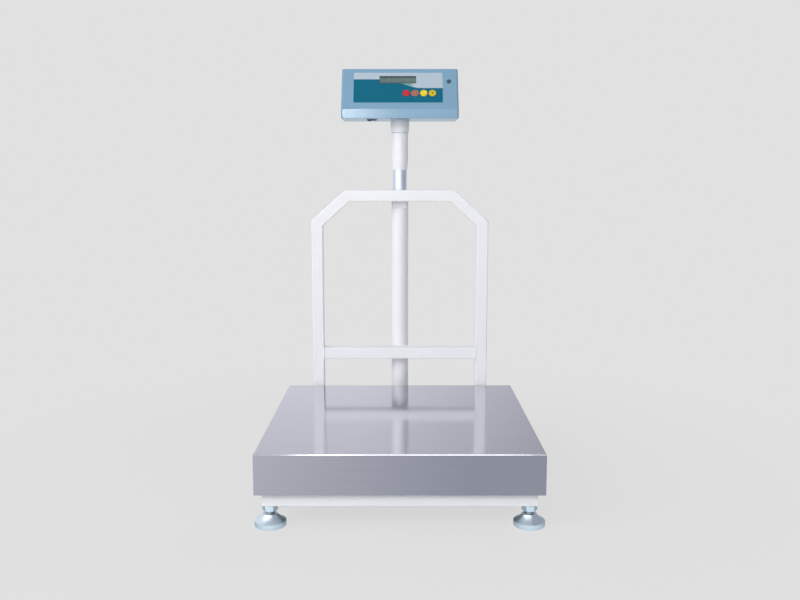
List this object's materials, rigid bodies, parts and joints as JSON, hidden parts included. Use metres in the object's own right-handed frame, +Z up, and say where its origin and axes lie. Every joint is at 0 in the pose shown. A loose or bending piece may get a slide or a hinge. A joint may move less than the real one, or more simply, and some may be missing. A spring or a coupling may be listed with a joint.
{
  "type": "platform scale",
  "caption": "Bench platform scale: square lift-off steel pan over a load cell frame on levelling feet, rear guard rail, mast and a swivelling indicator with keys.",
  "frame": {"origin": "on the floor, under the middle of the whole scale's bounding box", "axes": "+Z up; +X to the right and +Y to the back, as the user stands before the indicator"},
  "size_m": [0.506, 0.6059, 0.8355],
  "materials": {
    "stainless_pan": "brushed stainless sheet",
    "white_frame": "white powder coat",
    "plated_steel": "bright zinc plate",
    "load_cell_aluminium": "milled and anodised",
    "foot_chrome": "bright chrome plate",
    "mast_steel": "satin stainless tube",
    "white_plastic": "moulded, smooth",
    "grey_plastic": "moulded",
    "black_rubber": "moulded",
    "case_blue": "moulded, fine spark texture",
    "overlay_film": "printed polyester film",
    "display_pane": "smoked acrylic",
    "digit_module": "moulded, with clear cells",
    "circuit_board": "solder mask",
    "battery_case": "moulded",
    "transformer_steel": "varnished laminations",
    "lamp_lens": "dark lens",
    "black_plastic": "moulded",
    "key_red": "printed and domed",
    "key_orange": "printed and domed",
    "key_yellow": "printed and domed",
    "key_amber": "printed and domed"
  },
  "bodies": {
    "base": {"base_side_tubes": "white_frame", "base_end_tubes": "white_frame", "base_centre_tubes": "white_frame", "load_cell": "load_cell_aluminium", "load_cell_base_plate": "plated_steel", "load_cell_lower_screws": "plated_steel", "overload_stop_screws": "plated_steel", "overload_stop_nuts": "plated_steel", "foot_bosses": "plated_steel", "foot_lock_nuts": "foot_chrome", "rail_posts": "white_frame", "rail_corner_tubes": "white_frame", "rail_top_bar": "white_frame", "rail_crossbar": "white_frame", "upright_spacers": "white_frame", "upright_bolts": "plated_steel", "upright_plugs": "grey_plastic", "mast_tube": "white_frame", "mast_saddles": "white_frame", "mast_foot_block": "white_frame", "mast_bush": "grey_plastic", "mast_clamp_nut": "white_frame", "mast_clamp_screw": "plated_steel"},
    "deck": {"deck_side_tubes": "white_frame", "deck_end_tubes": "white_frame", "deck_centre_tubes": "white_frame", "load_cell_deck_plate": "plated_steel", "load_cell_upper_screws": "plated_steel", "deck_pads": "black_rubber"},
    "pan": {"pan": "stainless_pan"},
    "upper_mast": {"inner_mast_tube": "mast_steel", "neck": "white_plastic"},
    "indicator": {"collar": "white_plastic", "collar_screws": "plated_steel", "case_front": "case_blue", "case_rear": "case_blue", "case_screws": "plated_steel", "overlay": "overlay_film", "display_window": "display_pane", "display_digits": "digit_module", "front_board": "circuit_board", "main_board": "circuit_board", "battery": "battery_case", "transformer": "transformer_steel", "status_lamp": "lamp_lens", "rocker_frame": "black_plastic", "cable_grommet": "black_rubber"},
    "rocker": {"rocker": "black_plastic"},
    "key_1": {"key_1": "key_red"},
    "key_2": {"key_2": "key_orange"},
    "key_3": {"key_3": "key_yellow"},
    "key_4": {"key_4": "key_amber"},
    "foot_fl": {"foot_pad_fl": "foot_chrome"},
    "stud_fl": {"foot_stud_fl": "plated_steel"},
    "foot_fr": {"foot_pad_fr": "foot_chrome"},
    "stud_fr": {"foot_stud_fr": "plated_steel"},
    "foot_rl": {"foot_pad_rl": "foot_chrome"},
    "stud_rl": {"foot_stud_rl": "plated_steel"},
    "foot_rr": {"foot_pad_rr": "foot_chrome"},
    "stud_rr": {"foot_stud_rr": "plated_steel"}
  },
  "joints": [
    {"name": "deck_flex", "type": "slide", "parent": "base", "child": "deck", "axis": [0, 0, 1], "range_m": [-0.001, 0], "stiffness_N_per_m": 1500000, "springref_m": 0.0001, "deforming": ["load_cell"]},
    {"name": "pan_lift", "type": "slide", "parent": "deck", "child": "pan", "axis": [0, 0, 1], "range_m": [0, 0.12]},
    {"name": "mast_height", "type": "slide", "parent": "base", "child": "upper_mast", "axis": [0, 0, 1], "range_m": [-0.043, 0.1]},
    {"name": "head_swivel", "type": "hinge", "parent": "upper_mast", "child": "indicator", "pos_m": [0, 0.25, 0.71], "axis": [0, 0, 1], "range_deg": [-90, 90]},
    {"name": "rocker_tilt", "type": "hinge", "parent": "indicator", "child": "rocker", "pos_m": [-0.0615, 0.235, 0.7254], "axis": [0, 1, 0], "range_deg": [0, 14]},
    {"name": "key_1_press", "type": "slide", "parent": "indicator", "child": "key_1", "axis": [0, -0.866, 0.5], "range_m": [-0.0008, 0], "stiffness_N_per_m": 600, "springref_m": 0.001},
    {"name": "key_2_press", "type": "slide", "parent": "indicator", "child": "key_2", "axis": [0, -0.866, 0.5], "range_m": [-0.0008, 0], "stiffness_N_per_m": 600, "springref_m": 0.001},
    {"name": "key_3_press", "type": "slide", "parent": "indicator", "child": "key_3", "axis": [0, -0.866, 0.5], "range_m": [-0.0008, 0], "stiffness_N_per_m": 600, "springref_m": 0.001},
    {"name": "key_4_press", "type": "slide", "parent": "indicator", "child": "key_4", "axis": [0, -0.866, 0.5], "range_m": [-0.0008, 0], "stiffness_N_per_m": 600, "springref_m": 0.001},
    {"name": "foot_fl_travel", "type": "slide", "parent": "base", "child": "foot_fl", "axis": [0, 0, 1], "range_m": [-0.015, 0.002]},
    {"name": "foot_fl_turn", "type": "hinge", "parent": "foot_fl", "child": "stud_fl", "pos_m": [-0.2255, -0.2755, 0.05], "axis": [0, 0, 1], "range_deg": [-2700, 360]},
    {"name": "foot_fr_travel", "type": "slide", "parent": "base", "child": "foot_fr", "axis": [0, 0, 1], "range_m": [-0.015, 0.002]},
    {"name": "foot_fr_turn", "type": "hinge", "parent": "foot_fr", "child": "stud_fr", "pos_m": [0.2255, -0.2755, 0.05], "axis": [0, 0, 1], "range_deg": [-2700, 360]},
    {"name": "foot_rl_travel", "type": "slide", "parent": "base", "child": "foot_rl", "axis": [0, 0, 1], "range_m": [-0.015, 0.002]},
    {"name": "foot_rl_turn", "type": "hinge", "parent": "foot_rl", "child": "stud_rl", "pos_m": [-0.2255, 0.1755, 0.05], "axis": [0, 0, 1], "range_deg": [-2700, 360]},
    {"name": "foot_rr_travel", "type": "slide", "parent": "base", "child": "foot_rr", "axis": [0, 0, 1], "range_m": [-0.015, 0.002]},
    {"name": "foot_rr_turn", "type": "hinge", "parent": "foot_rr", "child": "stud_rr", "pos_m": [0.2255, 0.1755, 0.05], "axis": [0, 0, 1], "range_deg": [-2700, 360]}
  ],
  "couplings": [
    {"joint": "foot_fl_turn", "follows": "foot_fl_travel", "rad_per_m": 3141.6},
    {"joint": "foot_fr_turn", "follows": "foot_fr_travel", "rad_per_m": 3141.6},
    {"joint": "foot_rl_turn", "follows": "foot_rl_travel", "rad_per_m": 3141.6},
    {"joint": "foot_rr_turn", "follows": "foot_rr_travel", "rad_per_m": 3141.6}
  ]
}
